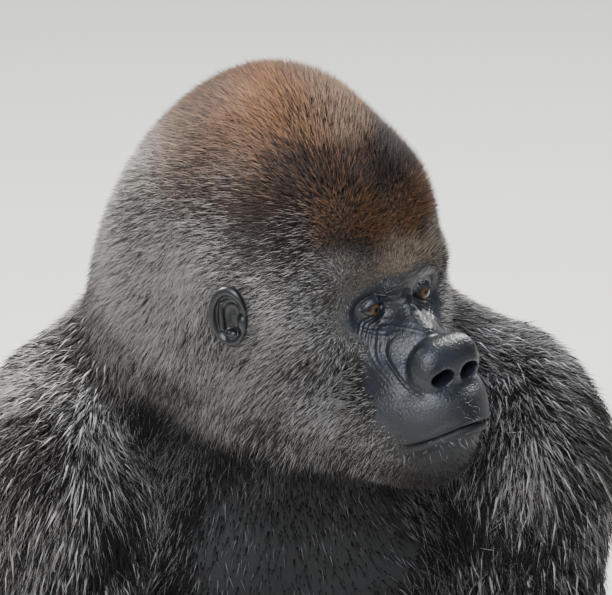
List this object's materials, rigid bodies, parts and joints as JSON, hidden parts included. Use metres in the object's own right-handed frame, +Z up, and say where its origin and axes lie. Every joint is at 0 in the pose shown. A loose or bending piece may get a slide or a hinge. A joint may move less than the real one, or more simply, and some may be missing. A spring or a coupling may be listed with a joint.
{
  "type": "gorilla",
  "caption": "Life-size silverback gorilla sitting upright, knees out and knuckles on the ground, head turned to its left; a still figure.",
  "frame": {"origin": "on the flat of the seat, where the rump rests on the floor, on the trunk's midline", "axes": "+Z up from the floor, -Y the way the trunk faces, +X the animal's left"},
  "size_m": [0.9984, 0.9279, 1.1135],
  "materials": {
    "fur_crown": "short chestnut fur",
    "fur_silver": "short silver-grey fur",
    "fur_dark": "long black-brown fur",
    "skin": "bare black skin with a soft sheen",
    "eye": "wet brown eye"
  },
  "bodies": {
    "root": {"head": "fur_crown", "jaw": "skin", "neck": "fur_silver", "chest": "fur_silver", "belly": "fur_silver", "eye_left": "eye", "eye_right": "eye", "ear_left": "skin", "ear_right": "skin", "upper_arm_left": "fur_dark", "upper_arm_right": "fur_dark", "forearm_left": "fur_dark", "forearm_right": "fur_dark", "hand_left": "skin", "hand_right": "skin", "thigh_left": "fur_dark", "thigh_right": "fur_dark", "shin_left": "fur_dark", "shin_right": "fur_dark", "foot_left": "skin", "foot_right": "skin"}
  },
  "joints": []
}
